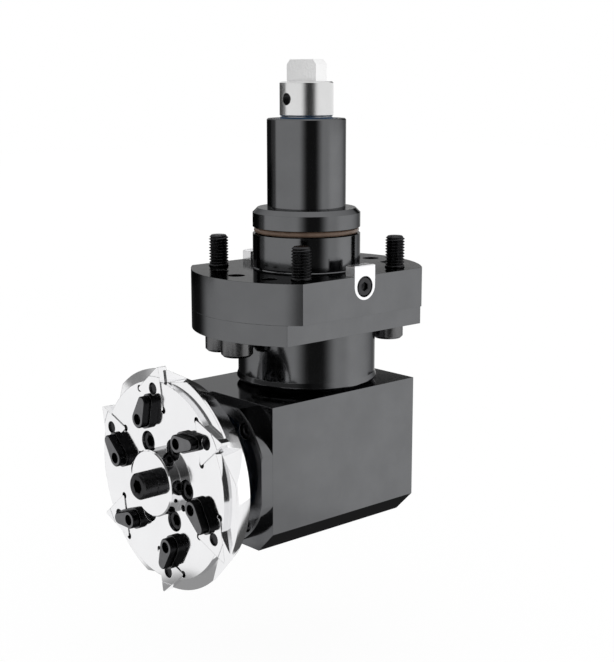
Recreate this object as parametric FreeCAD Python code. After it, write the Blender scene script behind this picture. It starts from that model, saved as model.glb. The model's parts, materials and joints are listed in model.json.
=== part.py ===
import FreeCAD, Part
import math
import os

from FreeCAD import Placement, Rotation, Vector

# A radial driven tool holder: a flanged shank that a turret clamps, an input shaft in it,
# a right-angle head below with a pair of bevel gears, and a spindle with a six-insert cutter.
# The origin is the middle of the flange's seating face, on the shank's axis, with +Z up the shank.
# The spindle points along -Y, at right angles to the shank, and millimetres are used throughout.

# Driving sizes of the flange and the shank
FLANGE_R = 59.25
FLANGE_HALF_WIDTH = 43.0
FLANGE_T = 20.0
SEAT_R = 27.5
SEAT_LENGTH = 30.6
SEAT_CHAMFER = 2.4
SEAT_RELIEF_W = 1.2
SEAT_RELIEF_DEPTH = 0.5
SHANK_SINK = 8.0
SHANK_FOOT_R = 28.5
QUILL_R = 20.0
QUILL_TOP = 75.3
QUILL_EDGE = 0.6
O_RING_LEVEL = 19.3
O_RING_SECTION_R = 1.5
O_RING_GROOVE_W = 3.4
O_RING_SINK = 0.6

# Driving sizes of the head below the flange
PLATE_HALF_WIDTH = 37.5
PLATE_T = 10.3
NECK_R = 35.5
NECK_FOOT_H = 5.4
NECK_BEAD_H = 3.2
NECK_BEAD_R = 36.3
NECK_FOOT_R = 34.3
NECK_SHOULDER_R = 20.0
NECK_SPIGOT_R = 26.0
NECK_SPIGOT_H = 2.5
BLOCK_TOP = -59.0
BLOCK_HALF_WIDTH = 36.0
BLOCK_FRONT = 54.0
BLOCK_REAR = 43.0
BLOCK_HEIGHT = 74.5
BLOCK_CHAMFER = 11.0

# Fasteners and keys of the flange
CLAMP_SPACING = 64.0
CLAMP_SCREW_D = 10.0
CLAMP_HEAD_D = 16.0
CLAMP_HEAD_H = 10.0
CLAMP_SEAT_LEVEL = -8.8
CLAMP_SCREW_LENGTH = 25.0
CLAMP_WAIST_R = 4.1
CLAMP_WAIST_TOP = 0.4
CLAMP_KEY_HOLE_D = 9.4
JOINT_CIRCLE_R = 46.3
JOINT_ANGLE = 21.0
JOINT_SCREW_D = 10.0
JOINT_TAP_D = 8.5
JOINT_HEAD_D = 16.0
JOINT_HEAD_H = 10.0
JOINT_GRIP = 15.0
NECK_SCREW_CIRCLE_R = 30.4
NECK_SCREW_D = 6.0
NECK_SCREW_HEAD_D = 10.0
NECK_SCREW_HEAD_H = 6.0
NECK_SCREW_LENGTH = 42.0
NECK_SCREW_COUNT = 6
DOWEL_ANGLE = 25.4
DOWEL_D = 8.0
DOWEL_TOP = -8.0
KEY_W = 14.0
KEY_T = 6.4
KEY_RISE = 5.2
KEY_DROP = 12.0
KEY_SCREW_D = 6.0
KEY_SCREW_LEVEL = -5.4
KEY_SCREW_HEAD_D = 10.0
KEY_SCREW_HEAD_H = 4.0
KEY_SCREW_TIP_GAP = 0.5

# Input shaft and its drive tang
SHAFT_R = 10.0
SEAL_LAND_R = 12.0
COLLAR_R = 13.5
COLLAR_GAP = 1.0
COLLAR_LENGTH = 17.1
COLLAR_EDGE = 0.6
TANG_W = 21.6
TANG_T = 7.2
TANG_LENGTH = 10.8
TANG_CHAMFER = 2.4
TANG_STEM_R = 6.0
TANG_STEM_LENGTH = 14.0
TANG_PIN_D = 6.0
TANG_PIN_SINK = 2.6
SPACER_R = 12.5

# Bearings: bore radius, outer radius, width of one ring
TOP_BEARING = (10.0, 16.0, 7.0)
NECK_BEARING = (10.0, 23.5, 14.0)
FRONT_BEARING = (15.0, 27.5, 13.0)
REAR_BEARING = (8.5, 20.0, 12.0)
RACE_SHARE = 0.30
SHIELD_T = 0.8
SHIELD_GAP = 0.4
TOP_SEAL_SINK = 0.1
CIRCLIP_T = 1.2
CIRCLIP_DEPTH = 1.0
TOP_SEAL_H = 5.0
TOP_SEAL_LIP = 0.7
TOP_SEAL_LIP_R = 13.2
RING_NUT_H = 6.0
RING_NUT_GROWTH = 1.5
RING_NUT_BORE_R = 17.0

# Bevel gears, equal, on axes at right angles
MODULE = 2.0
TEETH = 20
FACE_WIDTH = 8.0
PRESSURE_ANGLE = 20.0
BACKLASH = 0.30
DEDENDUM_SHARE = 1.25
PINION_BORE_R = 8.5
PINION_HUB_R = 14.0
GEAR_BORE_R = 11.0
GEAR_HUB_R = 17.0
GEAR_KEY_W = 5.0
GEAR_KEY_H = 2.2
PINION_KEY_LENGTH = 10.0
END_SCREW_R = 3.0
END_SCREW_LENGTH = 12.0
END_WASHER_R = 10.5
END_WASHER_T = 2.4

# Spindle along its own axis, measured from the shank's axis towards the cutter
SPINDLE_WAIST_R = 9.4
LOCK_NUT_R = 12.3
LOCK_NUT_BORE_R = 10.0
LOCK_NUT_H = 5.6
SEAL_JOURNAL_R = 19.0
NOSE_R = 30.0
NOSE_T = 9.0
PILOT_R = 13.5
PILOT_LENGTH = 12.0
REAR_SHOULDER_T = 1.6

# Covers of the head
COVER_OVERHANG = 2.2
COVER_RISE = 33.3
COVER_T = 7.0
COVER_EDGE = 0.6
COVER_SPIGOT_BORE_R = 20.5
COVER_SCREW_CIRCLE_R = 33.2
COVER_SCREW_D = 4.0
COVER_SCREW_HEAD_D = 7.0
COVER_SCREW_HEAD_H = 4.0
COVER_SINK_D = 8.0
COVER_SINK_DEPTH = 5.0
COVER_SCREW_LENGTH = 10.0
FRONT_SEAL_R = 25.0
FRONT_SEAL_H = 6.0
REAR_COVER_R = 28.0
REAR_COVER_T = 4.0
REAR_SCREW_CIRCLE_R = 24.2
REAR_SCREW_HEAD_R = 3.6
REAR_SCREW_LENGTH = 12.0

# Cutter head, measured along the spindle like the spindle itself
CUTTER_REAR = 78.2
CUTTER_RIM = 90.7
CUTTER_FACE = 93.8
CUTTER_REAR_R = 48.3
CUTTER_RIM_R = 54.2
CUTTER_FACE_R = 48.6
STATIONS = 6
FIRST_STATION = 36.0
INSERT_CIRCLE_R = 45.0
INSERT_INSCRIBED_R = 6.35
INSERT_NOSE_R = 0.8
INSERT_T = 4.76
INSERT_PROUD = 0.5
INSERT_TURN = -26.6
INSERT_HOLE_D = 6.2
INSERT_PIN_SINK = 0.9
CHIP_GROOVE_R = 51.4
CHIP_GROOVE_W = 0.4
CHIP_GROOVE_DEPTH = 0.35
POCKET_RELIEF_R = 1.7
GULLET_START = -24.9
GULLET_FOOT = -8.6
GULLET_END = -7.2
GULLET_FOOT_R = 48.6
FINGER_SCREW_CIRCLE_R = 31.3
FINGER_SCREW_LEAD = 13.5
FINGER_HEEL_R = 5.2
FINGER_TIP_R = 3.6
FINGER_REACH = 9.6
FINGER_H = 6.0
FINGER_STEP = 2.2
FINGER_GROOVE = 0.7
FINGER_INSET = 0.8
FINGER_SCREW_D = 5.2
FINGER_SCREW_DEPTH = 9.0
FINGER_SCREW_SINK = 2.2
MOUNT_CIRCLE_R = 20.2
MOUNT_SCREW_D = 6.0
MOUNT_HEAD_D = 10.0
MOUNT_HEAD_H = 6.0
MOUNT_SINK_D = 10.6
MOUNT_SINK_DEPTH = 7.0
MOUNT_THREAD_LENGTH = 7.0
WASHER_R = 16.3
WASHER_T = 6.2
CENTRE_SCREW_D = 8.0
CENTRE_HEAD_D = 13.0
CENTRE_HEAD_H = 8.0
CENTRE_SCREW_LENGTH = 22.0
DRIVE_KEY_W = 8.0
DRIVE_KEY_LENGTH = 5.0
DRIVE_KEY_DEPTH = 3.0
JACK_CIRCLE_R = 19.6
JACK_ANGLE = -28.6
JACK_D = 3.4
JACK_DEPTH = 7.0

# Clearances, each named for its fit
SLIDE_GAP = 0.05
RUN_GAP = 0.3
HOLE_GAP = 0.25
LIP_GAP = 0.05
HEX_SHARE = 0.5
HEX_DEPTH_SHARE = 0.5

# Sizes that follow from the driving ones
PLATE_BOTTOM = -(FLANGE_T + PLATE_T)
AXIS_LEVEL = BLOCK_TOP - BLOCK_HALF_WIDTH
COVER_R = BLOCK_HALF_WIDTH + COVER_OVERHANG
NECK_STACK = 2 * NECK_BEARING[2]
NECK_STACK_TOP = BLOCK_TOP + NECK_STACK
RING_NUT_R = NECK_BEARING[1] + RING_NUT_GROWTH
SPIGOT_BOTTOM = NECK_STACK_TOP + RING_NUT_H + RUN_GAP
NECK_SPIGOT_BOTTOM = BLOCK_TOP - NECK_SPIGOT_H
SHAFT_TUNNEL_R = TOP_BEARING[1] - 2.0
KEY_SCREW_LENGTH = FLANGE_HALF_WIDTH - KEY_SCREW_HEAD_H - SHANK_FOOT_R - KEY_SCREW_TIP_GAP
COLLAR_BOTTOM = QUILL_TOP + COLLAR_GAP
COLLAR_TOP = COLLAR_BOTTOM + COLLAR_LENGTH
TANG_TOP = COLLAR_TOP + TANG_LENGTH
SEAL_POCKET_BOTTOM = QUILL_TOP - TOP_SEAL_SINK - TOP_SEAL_H
TOP_BEARING_LEVEL = SEAL_POCKET_BOTTOM - CIRCLIP_T - TOP_BEARING[2]
PITCH_R = MODULE * TEETH / 2
CONE_LENGTH = PITCH_R * math.sqrt(2)
HALF_CONE = 1 / math.sqrt(2)
ADDENDUM = MODULE
DEDENDUM = DEDENDUM_SHARE * MODULE
INNER_SCALE = (CONE_LENGTH - FACE_WIDTH) / CONE_LENGTH
GEAR_TIP_R = PITCH_R + ADDENDUM * HALF_CONE
GEAR_BACK = PITCH_R + DEDENDUM * HALF_CONE
GEAR_ROOT_R = PITCH_R - DEDENDUM * HALF_CONE
GEAR_FRONT = GEAR_BACK * INNER_SCALE
FRONT_STACK = 2 * FRONT_BEARING[2]
FRONT_STACK_REAR = GEAR_BACK + 3.3
FRONT_STACK_FRONT = FRONT_STACK_REAR + FRONT_STACK
CAVITY_R = GEAR_TIP_R + 0.9
REAR_SHOULDER = CAVITY_R + 0.1
REAR_BEARING_FRONT = REAR_SHOULDER + REAR_SHOULDER_T
REAR_BEARING_REAR = REAR_BEARING_FRONT + REAR_BEARING[2]
COVER_FRONT = BLOCK_FRONT + COVER_T
INSERT_TOP = CUTTER_FACE + INSERT_PROUD
INSERT_SEAT = INSERT_TOP - INSERT_T

X, Y, Z = Vector(1, 0, 0), Vector(0, 1, 0), Vector(0, 0, 1)


# Builders of plain forms
def turned(points):
    """Revolve a closed outline of (radius, height) points round Z."""
    wire = Part.makePolygon([Vector(r, 0, h) for r, h in points + points[:1]])
    return Part.Face(wire).revolve(Vector(0, 0, 0), Z, 360)


def bar(radius, low, high, x=0.0, y=0.0):
    return Part.makeCylinder(radius, high - low, Vector(x, y, low))


def tube(outer, inner, low, high):
    return turned([(inner, low), (outer, low), (outer, high), (inner, high)])


def block(x0, x1, y0, y1, z0, z1):
    return Part.makeBox(x1 - x0, y1 - y0, z1 - z0, Vector(x0, y0, z0))


def polar(radius, degrees):
    angle = math.radians(degrees)
    return radius * math.cos(angle), radius * math.sin(angle)


def turn(shape, degrees, axis=Z, centre=Vector(0, 0, 0)):
    copy = shape.copy()
    copy.rotate(centre, axis, degrees)
    return copy


def shifted(shape, x=0.0, y=0.0, z=0.0):
    copy = shape.copy()
    copy.translate(Vector(x, y, z))
    return copy


def around(shape, count, first=0.0):
    return [turn(shape, first + index * 360.0 / count) for index in range(count)]


def opposite(shape):
    """The shape and its twin half a turn round the shank."""
    return [shape, turn(shape, 180)]


def on_spindle(shape):
    """Lay a shape built round Z onto the spindle's axis, with its +Z towards the cutter."""
    copy = shape.copy()
    lay = Placement(Vector(0, 0, AXIS_LEVEL), Rotation(X, 90))
    copy.Placement = lay.multiply(copy.Placement)
    return copy


def hexagon(across_flats, low, high):
    corner = across_flats / math.sqrt(3)
    points = [Vector(*polar(corner, 60 * index), low) for index in range(6)]
    return Part.Face(Part.makePolygon(points + points[:1])).extrude(Vector(0, 0, high - low))


def cap_screw(shank_d, head_d, head_h, length):
    """A socket head cap screw standing on Z: its head is above 0, its shank below."""
    head = turned([(0, 0), (head_d / 2, 0), (head_d / 2, head_h - 0.6), (head_d / 2 - 0.6, head_h), (0, head_h)])
    tip = shank_d / 2 - 0.8
    shank = turned([(0, -length), (tip, -length), (shank_d / 2, -length + 0.8), (shank_d / 2, 0), (0, 0)])
    socket = hexagon(head_d * HEX_SHARE, head_h * (1 - HEX_DEPTH_SHARE), head_h)
    return head.fuse(shank).cut(socket).removeSplitter()


def tidy(shape):
    return shape.removeSplitter()


def export(name, solids):
    group = solids if isinstance(solids, list) else [solids]
    flat = [solid for shape in group for solid in shape.Solids]
    for solid in flat:
        if not solid.isValid() or solid.Volume <= 0:
            raise ValueError("bad solid in " + name)
    shape = flat[0] if len(flat) == 1 else Part.makeCompound(flat)
    shape.exportStep("parts/" + name + ".step")


# Places of the flange's fasteners
HALF_SPACING = CLAMP_SPACING / 2
CLAMP_SPOTS = [(sx * HALF_SPACING, sy * HALF_SPACING) for sx in (-1, 1) for sy in (-1, 1)]
JOINT_SPOTS = [polar(JOINT_CIRCLE_R, angle) for angle in (-90, -90 - JOINT_ANGLE, 90, 90 - JOINT_ANGLE)]
DOWEL_SPOTS = [polar(JOINT_CIRCLE_R, angle) for angle in (-90 + DOWEL_ANGLE, 90 + DOWEL_ANGLE)]
NECK_SCREW_SPOTS = [polar(NECK_SCREW_CIRCLE_R, index * 360 / NECK_SCREW_COUNT) for index in range(NECK_SCREW_COUNT)]
NECK_SCREW_SEAT = -FLANGE_T - NECK_SCREW_HEAD_H - SLIDE_GAP


# Flange, and the turned shank that is shrunk into it
def flange_disc(low, high, half_width):
    disc = bar(FLANGE_R, low, high)
    return disc.common(block(-half_width, half_width, -FLANGE_R, FLANGE_R, low, high))


def key_outline(width, front, back, top, drop):
    """A block with a round foot, standing against the flange's +X flat."""
    radius = width / 2
    centre = -drop + radius
    upper = block(back, front, -radius, radius, centre, top)
    foot = Part.makeCylinder(radius, front - back, Vector(back, 0, centre), X)
    return tidy(upper.fuse(foot))


def shank_housing():
    groove_floor = SEAT_R - O_RING_SINK - 2 * O_RING_SECTION_R
    groove_low = O_RING_LEVEL - O_RING_GROOVE_W / 2
    groove_high = O_RING_LEVEL + O_RING_GROOVE_W / 2
    tail_r = RING_NUT_R - SLIDE_GAP
    outside = [
        (0, SPIGOT_BOTTOM), (tail_r, SPIGOT_BOTTOM), (tail_r, -SHANK_SINK), (SHANK_FOOT_R, -SHANK_SINK),
        (SHANK_FOOT_R, 0), (SEAT_R, 0), (SEAT_R - SEAT_RELIEF_DEPTH, SEAT_RELIEF_W / 2),
        (SEAT_R, SEAT_RELIEF_W), (SEAT_R, groove_low), (groove_floor, groove_low),
        (groove_floor, groove_high), (SEAT_R, groove_high),
        (SEAT_R, SEAT_LENGTH - SEAT_CHAMFER), (SEAT_R - SEAT_CHAMFER, SEAT_LENGTH), (QUILL_R, SEAT_LENGTH),
        (QUILL_R, QUILL_TOP - QUILL_EDGE), (QUILL_R - QUILL_EDGE, QUILL_TOP), (0, QUILL_TOP),
    ]
    pocket_r = TOP_BEARING[1]
    circlip_low = SEAL_POCKET_BOTTOM - CIRCLIP_T
    cuts = [
        bar(SHAFT_TUNNEL_R, SPIGOT_BOTTOM, TOP_BEARING_LEVEL),
        bar(pocket_r, TOP_BEARING_LEVEL, QUILL_TOP),
        bar(pocket_r + CIRCLIP_DEPTH, circlip_low, SEAL_POCKET_BOTTOM),
    ]
    return tidy(turned(outside).cut(cuts))


def upper_flange():
    cuts = [
        bar(RING_NUT_R - SLIDE_GAP, -FLANGE_T, 0),
        bar(SHANK_FOOT_R, -SHANK_SINK, 0),
    ]
    for x, y in CLAMP_SPOTS:
        cuts.append(bar(CLAMP_SCREW_D / 2 + HOLE_GAP, CLAMP_SEAT_LEVEL, 0, x, y))
        cuts.append(bar(CLAMP_HEAD_D / 2 + HOLE_GAP, -FLANGE_T, CLAMP_SEAT_LEVEL, x, y))
    for x, y in JOINT_SPOTS:
        cuts.append(bar(JOINT_TAP_D / 2, -FLANGE_T, 0, x, y))
        cuts.append(bar(JOINT_SCREW_D / 2, -FLANGE_T, PLATE_BOTTOM + PLATE_T + JOINT_GRIP, x, y))
    for x, y in DOWEL_SPOTS:
        cuts.append(bar(DOWEL_D / 2, -FLANGE_T, 0, x, y))
    slot = key_outline(KEY_W, FLANGE_HALF_WIDTH, FLANGE_HALF_WIDTH - KEY_T, 0, KEY_DROP)
    cuts += opposite(slot)
    floor = FLANGE_HALF_WIDTH - KEY_T
    reach = KEY_SCREW_LENGTH - (KEY_T - KEY_SCREW_HEAD_H)
    cuts += opposite(Part.makeCylinder(KEY_SCREW_D / 2, reach, Vector(floor - reach, 0, KEY_SCREW_LEVEL), X))
    return tidy(flange_disc(-FLANGE_T, 0, FLANGE_HALF_WIDTH).cut(cuts))


# Head in two pieces: the joint plate with its neck, and the gear block below it
def neck_flange():
    neck = turned([
        (0, BLOCK_TOP), (NECK_FOOT_R, BLOCK_TOP), (NECK_BEAD_R, BLOCK_TOP + NECK_BEAD_H - 0.5),
        (NECK_BEAD_R, BLOCK_TOP + NECK_BEAD_H), (NECK_R, BLOCK_TOP + NECK_FOOT_H), (NECK_R, PLATE_BOTTOM),
        (0, PLATE_BOTTOM),
    ])
    width = BLOCK_HALF_WIDTH
    neck = neck.common(block(-width, width, -FLANGE_R, FLANGE_R, BLOCK_TOP, PLATE_BOTTOM))
    plate = flange_disc(PLATE_BOTTOM, -FLANGE_T, PLATE_HALF_WIDTH)
    spigot = bar(NECK_SPIGOT_R, NECK_SPIGOT_BOTTOM, BLOCK_TOP)
    cuts = [
        bar(RING_NUT_R, NECK_STACK_TOP, -FLANGE_T),
        bar(NECK_BEARING[1], BLOCK_TOP, NECK_STACK_TOP),
        bar(NECK_SHOULDER_R, NECK_SPIGOT_BOTTOM, BLOCK_TOP),
    ]
    for x, y in CLAMP_SPOTS:
        cuts.append(bar(CLAMP_KEY_HOLE_D / 2, PLATE_BOTTOM, -FLANGE_T, x, y))
    for x, y in JOINT_SPOTS:
        cuts.append(bar(JOINT_SCREW_D / 2 + HOLE_GAP, PLATE_BOTTOM, -FLANGE_T, x, y))
    for x, y in DOWEL_SPOTS:
        cuts.append(bar(DOWEL_D / 2, PLATE_BOTTOM, -FLANGE_T, x, y))
    for x, y in NECK_SCREW_SPOTS:
        cuts.append(bar(NECK_SCREW_D / 2 + HOLE_GAP, BLOCK_TOP, NECK_SCREW_SEAT, x, y))
        cuts.append(bar(NECK_SCREW_HEAD_D / 2 + HOLE_GAP, NECK_SCREW_SEAT, -FLANGE_T, x, y))
    return tidy(neck.fuse([plate, spigot]).cut(cuts))


def gear_block():
    block_bottom = BLOCK_TOP - BLOCK_HEIGHT
    inner = BLOCK_HALF_WIDTH - BLOCK_CHAMFER
    section = [
        (-BLOCK_HALF_WIDTH, BLOCK_TOP), (BLOCK_HALF_WIDTH, BLOCK_TOP),
        (BLOCK_HALF_WIDTH, block_bottom + BLOCK_CHAMFER), (inner, block_bottom),
        (-inner, block_bottom), (-BLOCK_HALF_WIDTH, block_bottom + BLOCK_CHAMFER),
    ]
    wire = Part.makePolygon([Vector(x, -BLOCK_FRONT, z) for x, z in section + section[:1]])
    body = Part.Face(wire).extrude(Vector(0, BLOCK_FRONT + BLOCK_REAR, 0))
    cuts = [
        bar(NECK_SPIGOT_R + SLIDE_GAP, NECK_SPIGOT_BOTTOM - SLIDE_GAP, BLOCK_TOP),
        bar(CAVITY_R, AXIS_LEVEL, BLOCK_TOP),
        on_spindle(bar(FRONT_BEARING[1], -REAR_SHOULDER, BLOCK_FRONT)),
        on_spindle(bar(REAR_BEARING[1] - 2, -REAR_BEARING_FRONT, -REAR_SHOULDER)),
        on_spindle(bar(REAR_BEARING[1], REAR_COVER_T - BLOCK_REAR, -REAR_BEARING_FRONT)),
        on_spindle(bar(REAR_COVER_R + SLIDE_GAP, -BLOCK_REAR, REAR_COVER_T - BLOCK_REAR)),
    ]
    for x, y in NECK_SCREW_SPOTS:
        cuts.append(bar(NECK_SCREW_D / 2, NECK_SCREW_SEAT - NECK_SCREW_LENGTH, BLOCK_TOP, x, y))
    tap = bar(COVER_SCREW_D / 2, BLOCK_FRONT + COVER_T - COVER_SINK_DEPTH - COVER_SCREW_LENGTH, BLOCK_FRONT,
              COVER_SCREW_CIRCLE_R)
    cuts += [on_spindle(hole) for hole in around(tap, 4, 45)]
    rear_tap = bar(COVER_SCREW_D / 2, -BLOCK_REAR, REAR_SCREW_LENGTH - BLOCK_REAR, REAR_SCREW_CIRCLE_R)
    cuts += [on_spindle(hole) for hole in around(rear_tap, 4, 45)]
    return tidy(body.cut(cuts))


def neck_screws():
    screw = cap_screw(NECK_SCREW_D, NECK_SCREW_HEAD_D, NECK_SCREW_HEAD_H, NECK_SCREW_LENGTH)
    return [shifted(screw, x, y, NECK_SCREW_SEAT) for x, y in NECK_SCREW_SPOTS]


def orientation_keys():
    key = key_outline(KEY_W, FLANGE_HALF_WIDTH, FLANGE_HALF_WIDTH - KEY_T, KEY_RISE, KEY_DROP)
    edges = [edge for edge in key.Edges if edge.CenterOfMass.z > KEY_RISE - 0.1]
    key = key.makeChamfer(0.5, edges)
    base = FLANGE_HALF_WIDTH - KEY_T
    hole = Part.makeCylinder(KEY_SCREW_D / 2 + HOLE_GAP, KEY_T, Vector(base, 0, KEY_SCREW_LEVEL), X)
    sink = Part.makeCylinder(KEY_SCREW_HEAD_D / 2 + HOLE_GAP, KEY_SCREW_HEAD_H,
                             Vector(FLANGE_HALF_WIDTH - KEY_SCREW_HEAD_H, 0, KEY_SCREW_LEVEL), X)
    return opposite(key.cut([hole, sink]))


def key_screws():
    screw = cap_screw(KEY_SCREW_D, KEY_SCREW_HEAD_D, KEY_SCREW_HEAD_H, KEY_SCREW_LENGTH)
    screw = turn(screw, 90, Y)
    return opposite(shifted(screw, FLANGE_HALF_WIDTH - KEY_SCREW_HEAD_H, 0, KEY_SCREW_LEVEL))


def clamp_screws():
    """Captive screws: the shank is waisted where it passes through the flange."""
    waist = CLAMP_WAIST_TOP - CLAMP_SEAT_LEVEL
    screw = cap_screw(CLAMP_SCREW_D, CLAMP_HEAD_D, CLAMP_HEAD_H, CLAMP_SCREW_LENGTH)
    screw = turn(screw.cut(tube(CLAMP_SCREW_D / 2, CLAMP_WAIST_R, -waist, 0)), 180, X)
    return [shifted(screw, x, y, CLAMP_SEAT_LEVEL) for x, y in CLAMP_SPOTS]


def joint_screws():
    screw = turn(cap_screw(JOINT_SCREW_D, JOINT_HEAD_D, JOINT_HEAD_H, PLATE_T + JOINT_GRIP), 180, X)
    return [shifted(screw, x, y, PLATE_BOTTOM) for x, y in JOINT_SPOTS]


def dowel_pins():
    edge = 0.8
    radius = DOWEL_D / 2
    outline = [(0, PLATE_BOTTOM), (radius - edge, PLATE_BOTTOM), (radius, PLATE_BOTTOM + edge),
               (radius, DOWEL_TOP - edge), (radius - edge, DOWEL_TOP), (0, DOWEL_TOP)]
    return [shifted(turned(outline), x, y) for x, y in DOWEL_SPOTS]


def o_ring():
    section = O_RING_SECTION_R - SLIDE_GAP
    centre = SEAT_R - O_RING_SINK - O_RING_SECTION_R
    wire = Part.Wire(Part.makeCircle(section, Vector(centre, 0, O_RING_LEVEL), Y))
    return Part.Face(wire).revolve(Vector(0, 0, 0), Z, 360)


# Shielded ball bearings, each an outer ring with its shields and an inner ring
def outer_ring(size, low):
    bore, outer, width = size
    wall = (outer - bore) * RACE_SHARE
    shield_r = bore + wall + SHIELD_GAP
    high = low + width
    inside = outer - wall
    return turned([
        (shield_r, low), (outer, low), (outer, high), (shield_r, high), (shield_r, high - SHIELD_T),
        (inside, high - SHIELD_T), (inside, low + SHIELD_T), (shield_r, low + SHIELD_T),
    ])


def inner_ring(size, low):
    bore, outer, width = size
    return tube(bore + (outer - bore) * RACE_SHARE, bore, low, low + width)


def stacked(ring, size, low, count):
    return [ring(size, low + index * size[2]) for index in range(count)]


# Input side, built straight up Z
def drive_shaft():
    bottom = AXIS_LEVEL + GEAR_FRONT + END_WASHER_T + 0.4
    body = turned([
        (0, bottom), (PINION_BORE_R, bottom), (PINION_BORE_R, BLOCK_TOP), (SHAFT_R, BLOCK_TOP),
        (SHAFT_R, TOP_BEARING_LEVEL + TOP_BEARING[2]), (SEAL_LAND_R, TOP_BEARING_LEVEL + TOP_BEARING[2]),
        (SEAL_LAND_R, COLLAR_BOTTOM), (COLLAR_R - COLLAR_EDGE, COLLAR_BOTTOM),
        (COLLAR_R, COLLAR_BOTTOM + COLLAR_EDGE), (COLLAR_R, COLLAR_TOP - COLLAR_EDGE),
        (COLLAR_R - COLLAR_EDGE, COLLAR_TOP), (0, COLLAR_TOP),
    ])
    stem_hole = bar(TANG_STEM_R, COLLAR_TOP - TANG_STEM_LENGTH, COLLAR_TOP)
    middle = (COLLAR_BOTTOM + COLLAR_TOP) / 2
    pin_hole = Part.makeCylinder(TANG_PIN_D / 2, 2 * COLLAR_R, Vector(0, -COLLAR_R, middle), Y)
    screw_hole = bar(END_SCREW_R, bottom, bottom + END_SCREW_LENGTH)
    keyway = block(PINION_BORE_R - GEAR_KEY_H / 2, PINION_BORE_R, -GEAR_KEY_W / 2, GEAR_KEY_W / 2,
                   AXIS_LEVEL + GEAR_BACK, AXIS_LEVEL + GEAR_BACK + PINION_KEY_LENGTH)
    return body.cut([stem_hole, pin_hole, screw_hole, keyway])


def drive_tang():
    half = TANG_W / 2
    outline = [
        (-half, COLLAR_TOP), (half, COLLAR_TOP), (half, TANG_TOP - TANG_CHAMFER), (half - TANG_CHAMFER, TANG_TOP),
        (TANG_CHAMFER - half, TANG_TOP), (-half, TANG_TOP - TANG_CHAMFER),
    ]
    wire = Part.makePolygon([Vector(x, -TANG_T / 2, z) for x, z in outline + outline[:1]])
    blade = Part.Face(wire).extrude(Vector(0, TANG_T, 0))
    stem = bar(TANG_STEM_R, COLLAR_TOP - TANG_STEM_LENGTH, COLLAR_TOP)
    middle = (COLLAR_BOTTOM + COLLAR_TOP) / 2
    pin_hole = Part.makeCylinder(TANG_PIN_D / 2, 2 * COLLAR_R, Vector(0, -COLLAR_R, middle), Y)
    return tidy(blade.fuse(stem).cut(pin_hole))


def tang_pin():
    middle = (COLLAR_BOTTOM + COLLAR_TOP) / 2
    half = COLLAR_R - TANG_PIN_SINK
    return Part.makeCylinder(TANG_PIN_D / 2, 2 * half, Vector(0, -half, middle), Y)


def top_seal():
    low = SEAL_POCKET_BOTTOM
    lip_r = SEAL_LAND_R + LIP_GAP
    return turned([
        (lip_r, low), (TOP_BEARING[1], low), (TOP_BEARING[1], low + TOP_SEAL_H - 0.4),
        (TOP_BEARING[1] - 0.4, low + TOP_SEAL_H), (TOP_SEAL_LIP_R, low + TOP_SEAL_H),
        (TOP_SEAL_LIP_R, QUILL_TOP + TOP_SEAL_LIP), (lip_r, QUILL_TOP + TOP_SEAL_LIP),
    ])


def circlip(outer, inner, low, gap_angle=24.0):
    ring = tube(outer, inner, low, low + CIRCLIP_T)
    mouth = Part.makeCylinder(outer + 1, CIRCLIP_T, Vector(0, 0, low), Z, gap_angle)
    return ring.cut(turn(mouth, -gap_angle / 2))


def ring_nut(outer, bore, low, high, notches=4, notch=4.0):
    nut = tube(outer, bore, low, high)
    slot = block(outer - 2.2, outer + 1, -notch / 2, notch / 2, low, high)
    return nut.cut(around(slot, notches))


# Bevel gears
def involute(angle):
    return math.tan(angle) - angle


def tooth_half_widths():
    """Height from the pitch cone and half thickness at root, pitch, middle and tip."""
    back_r = PITCH_R * math.sqrt(2)
    base_r = back_r * math.cos(math.radians(PRESSURE_ANGLE))
    half_pitch = math.pi * MODULE / (4 * back_r)
    result = []
    for height in (-DEDENDUM - 0.3, -DEDENDUM / 2, 0.0, ADDENDUM / 2, ADDENDUM):
        radius = back_r + height
        seen = math.acos(min(1.0, base_r / max(radius, base_r)))
        angle = half_pitch + involute(math.radians(PRESSURE_ANGLE)) - involute(seen)
        result.append((height, radius * math.sin(angle) - BACKLASH / 4))
    return result


def bevel_tooth():
    """One tooth that points along +X, its cone's tip at the origin, opening up Z."""
    widths = tooth_half_widths()
    ring = [(height, -half) for height, half in widths] + [(height, half) for height, half in reversed(widths)]
    big = []
    for height, side in ring:
        radius = PITCH_R + height * HALF_CONE
        level = PITCH_R - height * HALF_CONE
        big.append(Vector(radius, side, level))
    small = [point * INNER_SCALE for point in big]
    wires = [Part.makePolygon(loop + loop[:1]) for loop in (big, small)]
    return Part.makeLoft(wires, True, True)


def bevel_gear(bore, hub_r, hub_end, phase):
    back_low = GEAR_BACK
    inner_root_r = GEAR_ROOT_R * INNER_SCALE
    blank = turned([
        (0, GEAR_FRONT), (inner_root_r, GEAR_FRONT), (GEAR_ROOT_R, back_low),
        (hub_r, back_low), (hub_r, hub_end), (0, hub_end),
    ])
    gear = blank.fuse(around(bevel_tooth(), TEETH, phase))
    return tidy(gear.cut(bar(bore, 0, hub_end)))


def bevel_pinion():
    hub_end = BLOCK_TOP - AXIS_LEVEL
    pinion = bevel_gear(PINION_BORE_R, PINION_HUB_R, hub_end, -90)
    seat = bar(END_WASHER_R + SLIDE_GAP, GEAR_FRONT, GEAR_FRONT + END_WASHER_T)
    keyway = block(PINION_BORE_R - GEAR_KEY_H / 2, PINION_BORE_R + GEAR_KEY_H / 2,
                   -GEAR_KEY_W / 2, GEAR_KEY_W / 2, GEAR_FRONT, hub_end)
    return shifted(pinion.cut([seat, keyway]), 0, 0, AXIS_LEVEL)


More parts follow.
